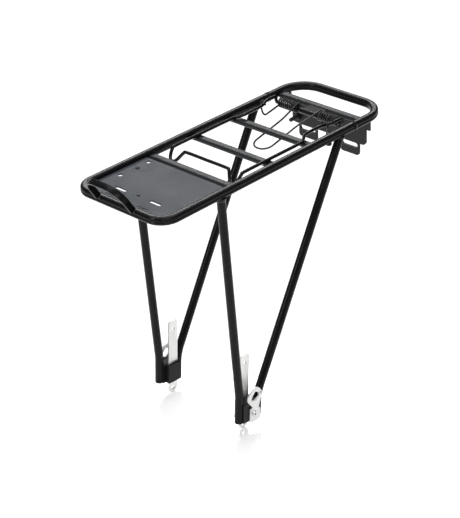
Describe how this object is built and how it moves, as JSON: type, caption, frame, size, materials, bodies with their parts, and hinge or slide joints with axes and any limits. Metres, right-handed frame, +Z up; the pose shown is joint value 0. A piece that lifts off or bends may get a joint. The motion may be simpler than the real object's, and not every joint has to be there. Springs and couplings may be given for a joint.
{
  "type": "rear rack",
  "caption": "Bicycle rear rack with a welded tube deck, straight stays, adjustable strip feet, a front plate with a stop hoop and a sprung wire flap.",
  "frame": {"origin": "midway between the two dropout holes, on their common axis", "axes": "+X forward, +Y to the rider's left, +Z up"},
  "size_m": [0.3972, 0.1542, 0.3571],
  "materials": {
    "black_powder_coat": "satin black powder coat on tube",
    "crossbar_coat": "satin black powder coat on flat-oval tube",
    "plate_coat": "fine-textured dark powder coat on sheet",
    "tail_coat": "dark powder coat on sheet",
    "coated_weld": "rippled weld bead under powder coat",
    "zinc_strip": "bright zinc-plated strip steel",
    "zinc_anchor": "bright zinc-plated pressed steel",
    "zinc_fastener": "bright zinc-plated fasteners",
    "clamp_coat": "satin black powder coat on extruded plates",
    "black_nylon": "moulded black nylon",
    "spring_steel": "black-coated spring wire",
    "flap_coat": "gloss black coat on round wire",
    "black_fastener": "blackened steel fasteners"
  },
  "bodies": {
    "frame": {"front_loop": "black_powder_coat", "rear_bow": "black_powder_coat", "bow_welds": "coated_weld", "front_crossbar": "crossbar_coat", "second_crossbar": "crossbar_coat", "third_crossbar": "crossbar_coat", "rear_crossbar": "crossbar_coat", "front_plate": "plate_coat", "stop_hoop": "black_powder_coat", "hoop_welds": "coated_weld", "left_front_stay": "black_powder_coat", "left_rear_stay": "black_powder_coat", "right_front_stay": "black_powder_coat", "right_rear_stay": "black_powder_coat", "stay_welds": "coated_weld", "left_inner_clamp": "clamp_coat", "right_inner_clamp": "clamp_coat", "left_outer_clamp": "clamp_coat", "right_outer_clamp": "clamp_coat", "clamp_pads": "black_nylon", "clamp_screws": "zinc_fastener", "left_strap_anchor": "zinc_anchor", "right_strap_anchor": "zinc_anchor", "pivot_sleeve": "flap_coat", "sleeve_bracket": "black_powder_coat", "torsion_spring": "spring_steel", "tail_plate": "tail_coat", "tail_bolt": "black_fastener", "rail_screws": "black_fastener"},
    "flap": {"flap_wire": "flap_coat", "flap_stubs": "flap_coat", "spring_hooks": "spring_steel"},
    "left_foot": {"left_strip": "zinc_strip"},
    "right_foot": {"right_strip": "zinc_strip"}
  },
  "joints": [
    {"name": "flap_hinge", "type": "hinge", "parent": "frame", "child": "flap", "pos_m": [-0.1938, 0, 0.3118], "axis": [0, -1, 0], "range_deg": [0, 95], "stiffness_Nm_per_rad": 0.25, "springref_deg": -45.84},
    {"name": "left_strip_slide", "type": "slide", "parent": "frame", "child": "left_foot", "axis": [-0.0872, 0, 0.9962], "range_m": [-0.012, 0.004]},
    {"name": "right_strip_slide", "type": "slide", "parent": "frame", "child": "right_foot", "axis": [-0.0872, 0, 0.9962], "range_m": [-0.012, 0.004]}
  ]
}
